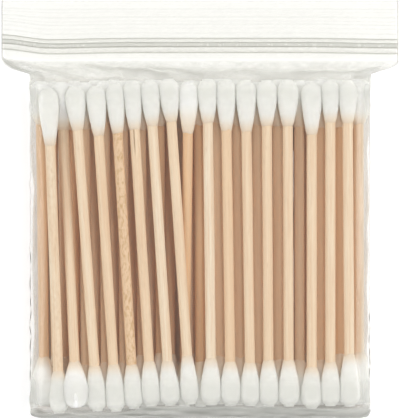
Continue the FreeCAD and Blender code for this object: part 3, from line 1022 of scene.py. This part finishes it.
def grid_normals(grid):
    """Normals of a grid of rings, from its neighbours."""
    around = np.roll(grid, -1, axis=1) - np.roll(grid, 1, axis=1)
    along = np.gradient(grid, axis=0)
    normal = np.cross(around, along)
    normal /= np.maximum(np.linalg.norm(normal, axis=2, keepdims=True), 1e-9)
    return normal


def film_stations():
    """Where the rings stand, and how flat each is: close together where the film turns.

    A mark is where a stretch starts, and how many rings it has.
    """
    marks = [
        (FOLD_Y, 15), (FOLD_Y + 3.2, 12), (LOW_VEIL_Y, 13), (TOP_VEIL_Y, 7),
        (HEADER_START_Y - 8.0, 40), (HEADER_START_Y + 0.6, 3), (RIB_START_Y, 36), (RIB_END_Y, 2),
        (MOUTH_Y, 0),
    ]
    places = [FOLD_Y] * 4
    for (start, count), (end, _) in zip(marks, marks[1:]):
        places += list(np.linspace(start, end, count, endpoint=False))
    places = np.array(places + [MOUTH_Y])
    flatten = np.ones(len(places))
    flatten[:4] = (0.01, 0.3, 0.6, 0.85)
    return places, flatten


def film_grid():
    """The film's outer and inner rings with their wrinkles, and the cloudiness and painted grey shade of the
    outer ones.
    """
    places, flatten = film_stations()
    outer = np.stack([film_ring(y, f, 0.0) for y, f in zip(places, flatten)])
    inset = np.where(places < FOLD_Y + FILM, places + FILM, places)
    inner = np.stack([film_ring(y, f, FILM) for y, f in zip(inset, flatten)])
    normals = grid_normals(outer)
    normals[:4] = (0.0, -1.0, 0.0)
    out, haze_and_shade = film_displacement(outer.reshape(-1, 3), normals.reshape(-1, 3))
    shift = (normals.reshape(-1, 3) * out[:, None]).reshape(outer.shape)
    x, y = outer[:, :, 0], outer[:, :, 1]
    header = rises(y, HEADER_START_Y - 1.0, 3.0) * falls(y, MOUTH_Y, 6.0)
    shift[:, :, 1] += header_drift(x) * header + shoulder_rise(x, y) * (normals[:, :, 2] > 0)
    outer = outer + shift
    inner = inner + shift
    outer[:, :, 2] = np.clip(outer[:, :, 2], BAG_BASE, BAG_TOP)
    inner[:, :, 2] = np.clip(inner[:, :, 2], BAG_BASE + FILM, BAG_TOP - FILM)
    return outer, inner, haze_and_shade


def make_film(material):
    outer, inner, haze_and_shade = film_grid()
    rings, around = outer.shape[:2]
    total = rings * around
    points = np.concatenate([outer.reshape(-1, 3), inner.reshape(-1, 3)])
    faces = []
    for outside, inside in zip(tube_faces(around, rings, 0), tube_faces(around, rings, total)):
        faces += [outside, inside[::-1]]
    last = (rings - 1) * around
    for k in range(around):
        a, b = last + k, last + (k + 1) % around
        faces.append((a, b, b + total, a + total))
    faces.append(tuple(range(around))[::-1])
    faces.append(tuple(range(total, total + around)))
    film = new_object("bag_film", points, faces, material)
    give(film, "haze_and_shade", np.concatenate([haze_and_shade, np.minimum(haze_and_shade, INNER_HAZE)]))
    return finish_piece(film, "film", "zip_bag")


# Each weld: its side, where it starts to look broken, how grey it is on the shoulder's slope, and how much
# greyer beside the header and beside the top buds. The grey on the slope and beside the top buds is painted
# shade and reflection; the rest is the weld's own cloudiness.
WELDS = {
    "left_weld": (-1, -8.0, 1.0, 0.4, 0.0),
    "right_weld": (1, -22.0, 0.15, 0.2, 0.25),
}
WELD_RINGS = 190
WELD_EDGE = (0.28, 0.16)
WELD_WEAR = 0.14
WELD_LAP = 0.3
WELD_DRAWN_IN_LAP = 0.1
WELD_SLOPE_LAP = 0.7
WELD_GREY = 0.35
WELD_BROKEN_GREY = 0.65
WELD_SLOPE_GREY = 0.95
WELD_TOP_START_Y = 10.0
WELD_INNER_GREY = 0.27
WELD_DRAWN_IN_GREY = 0.02
WELD_INNER_SLOPE_GREY = 0.4


def weld_section(y, side, broken_above, slope_share, header_grey, top_grey, breaks):
    """A weld's cross-section at a place along the bag, as points, and how cloudy and grey each is."""
    width = film_shape(y)[0]
    pinch = pinch_at(y)[0 if side < 0 else 1]
    header = rises(y, HEADER_START_Y - 3.0, 3.0)
    drift = header_drift(np.array([side * width]))[0] * header * falls(y, MOUTH_Y, 6.0)
    slope = rises(y, HEADER_START_Y - 4.2, 1.0) * falls(y, HEADER_START_Y - 0.1, 0.8) * slope_share
    lap = WELD_DRAWN_IN_LAP if pinch > 0 else WELD_LAP
    inner = width - pinch - lap - WELD_SLOPE_LAP * slope
    outer = min(width + WELD_FIN, HEADER_HALF_WIDTH)
    outer = outer - WELD_WEAR * (0.5 + 0.5 * breaks(0.6 * y, 5.0)) * (1 - header)
    across = (inner, outer - WELD_EDGE[0], outer - WELD_EDGE[1], outer)
    broken = falls(y, broken_above, 3.0) * rises(y, STICKS_START_Y - 6.0, 3.0)
    dark = WELD_GREY + WELD_BROKEN_GREY * broken * ease(0.5 + breaks(y, 0.0)) + header_grey * header
    # Beside the top buds and on the shoulder's slope the weld is painted greyer as shade and reflection
    dark = dark + top_grey * rises(y, WELD_TOP_START_Y, 8.0) * (1 - header)
    dark = min(max(dark, WELD_SLOPE_GREY * slope), 1.0)
    middle = WELD_INNER_GREY if pinch < 0.15 else WELD_DRAWN_IN_GREY
    middle = middle + WELD_INNER_SLOPE_GREY * slope
    ring = [(side * x, y + drift, MID_Z + WELD_HALF) for x in across]
    ring += [(side * x, y + drift, MID_Z - WELD_HALF) for x in reversed(across)]
    level = [middle, middle, dark, dark]
    return ring if side < 0 else ring[::-1], level + level[::-1]


def make_welds(material):
    """The flat weld along each side, from the fold to the mouth, with a crisp outer edge."""
    places = np.linspace(FOLD_Y + 1.6, MOUTH_Y, WELD_RINGS)
    for name, (side, *looks) in WELDS.items():
        breaks = Waves(21 + side, 3.0)
        rings, haze_and_shade_levels = [], []
        for y in places:
            ring, haze_and_shade = weld_section(y, side, *looks, breaks)
            rings += ring
            haze_and_shade_levels += haze_and_shade
        weld = new_object(name, np.array(rings), closed_tube(8, WELD_RINGS), material, smooth=False)
        give(weld, "haze_and_shade", np.array(haze_and_shade_levels))
        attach(weld, "root")


# The zip


ZIP_REACH = HEADER_HALF_WIDTH - 0.2
ZIP_RINGS = 140
BAND_SHIFT = 0.19


def make_strip(name, node, profile, haze_and_shade_levels, material):
    """A zip strip: its cross-section, given along and above the zip's middle, drawn across."""
    points = []
    for x in np.linspace(-ZIP_REACH, ZIP_REACH, ZIP_RINGS):
        drift = header_drift(np.array([x]))[0]
        points += [(x, ZIP_Y + y + drift, MID_Z + z) for y, z in profile]
    strip = new_object(name, points, closed_tube(len(profile), ZIP_RINGS), material, smooth=False)
    give(strip, "haze_and_shade", np.tile(haze_and_shade_levels, ZIP_RINGS))
    return finish_piece(strip, "zip", node)


def make_zip(material):
    """Both strips: flanges with a thin bead at each edge, a rib in front and a groove behind.

    A point of half a cross-section is its place along the bag, its height and how cloudy and grey it is; the
    grey lines are painted shade over real cloudiness.
    """
    top = zip_high[2] - MID_Z
    base = strip_low[2] - MID_Z
    edge = (zip_high[1] - zip_low[1]) / 2
    front_top = [
        (0.0, 0.6), (0.3, 0.6), (0.38, 0.95), (0.56, 0.95), (0.61, 0.0), (1.0, 0.0), (1.5, 0.0),
        (edge - 0.36, 0.0), (edge - 0.24, 0.75), (edge, 0.75),
    ]
    front_under = [(edge, -0.18, 0.5), (edge - 0.3, -0.18, 0.0), (0.14, -0.18, 0.0)]
    rib = [(0.14, -0.5, 0.0), (0.33, -0.55, 0.0), (0.12, base + 0.22 - top, 0.0)]
    front = [(y, top, h) for y, h in front_top] + [(y, top + z, h) for y, z, h in front_under + rib]
    flange = [(0.0, base, 0.0), (edge - 0.1, base, 0.2), (edge, base, 0.3), (edge, base + 0.18, 0.3)]
    hook = [
        (0.6, 0.18, 0.0), (0.6, 0.7, 0.4), (0.19, 0.7, 0.2), (0.19, 0.6, 0.2), (0.42, 0.6, 0.2),
        (0.42, 0.18, 0.1),
    ]
    back = flange + [(y, base + z, h) for y, z, h in hook]
    for name, node, half in (("zip_rib", "front_zip_strip", front), ("zip_groove", "back_zip_strip", back)):
        whole = half + [(-y, z, h) for y, z, h in reversed(half[1:])]
        profile = [(y + BAND_SHIFT * ease((1.2 - abs(y)) / 0.8), z) for y, z, _ in whole]
        haze_and_shade_levels = [h for _, _, h in whole]
        if name == "zip_groove":
            profile, haze_and_shade_levels = profile[::-1], haze_and_shade_levels[::-1]
        make_strip(name, node, profile, haze_and_shade_levels, material)


# Stage, lights and camera


# The floor's rectangles: half width, and from where to where along the bag
FLOOR_GLOW = 0.58
SHADED_FLOOR = (36.8, -45.0, 27.0)
BRIGHT_FLOOR = (38.4, -47.0, 31.0)
WHOLE_FLOOR = (3000.0, -3000.0, 3000.0)


def make_floor():
    """A floor of three nested rectangles: in the body's shade, around the body, and far off."""
    points = []
    for half, low, high in (SHADED_FLOOR, BRIGHT_FLOOR, WHOLE_FLOOR):
        points += [(-half, low, 0), (half, low, 0), (half, high, 0), (-half, high, 0)]
    faces = [(0, 1, 2, 3)]
    for first in (0, 4):
        for k in range(4):
            a, b = first + k, first + (k + 1) % 4
            faces.append((a + 4, b + 4, b, a))
    floor = new_object("floor", points, faces, floor_material(), smooth=False)
    give(floor, "glow", [0.0] * 4 + [1.0] * 8)


# Lights: place, size and power
LIGHTS = {
    "right_softbox": ((680, 60, 600), 450, 3.0),
    "left_softbox": ((-680, 60, 600), 450, 2.6),
    "far_softbox": ((0, 760, 600), 400, 0.6),
    "key": ((170, 20, 900), 100, 1.5),
}


def make_light(name, place, size, power):
    light = bpy.data.lights.new(name, "AREA")
    light.shape = "SQUARE"
    light.size = size * MM
    light.energy = power
    made = bpy.data.objects.new(name, light)
    made.location = [v * MM for v in place]
    toward = Vector((0, 0, 0)) - made.location
    made.rotation_euler = toward.to_track_quat("-Z", "Y").to_euler()
    bpy.context.scene.collection.objects.link(made)
    return made


def make_stage():
    make_floor()
    lights = {name: make_light(name, *settings) for name, settings in LIGHTS.items()}
    lights["key"].visible_glossy = False
    world = bpy.data.worlds.new("studio")
    world.use_nodes = True
    tree = world.node_tree
    direction = tree.nodes.new("ShaderNodeTexCoord").outputs["Generated"]
    split = made_node(tree, "SeparateXYZ", {"Vector": direction})
    fill(tree, tree.nodes["Background"], {"Color": ramp(tree, split.outputs["Z"], SKY), "Strength": 1.0})
    bpy.context.scene.world = world
    bpy.context.scene.view_settings.view_transform = "Standard"
    bpy.context.scene.cycles.transparent_max_bounces = 32
    bpy.context.scene.cycles.diffuse_bounces = 10
    bpy.context.scene.cycles.max_bounces = 14


def make_camera():
    """Looks straight down on the front panel, with the zip at the top of the picture."""
    seen = (bag_high[1] - bag_low[1]) * VIEW_MARGIN
    camera = bpy.data.cameras.new("camera")
    camera.sensor_fit = "VERTICAL"
    camera.sensor_height = SENSOR
    camera.lens = SENSOR * CAMERA_DISTANCE / seen
    camera.clip_start = CAMERA_CLIP * MM
    made = bpy.data.objects.new("camera", camera)
    middle_y = (bag_low[1] + bag_high[1]) / 2
    made.location = (0, middle_y * MM, (MID_Z + CAMERA_DISTANCE) * MM)
    bpy.context.scene.collection.objects.link(made)
    bpy.context.scene.camera = made


def main():
    dress_swabs(wood_material(), cotton_material())
    film = film_material()
    make_film(film)
    make_welds(film)
    make_zip(zip_material())
    make_stage()
    make_camera()


main()
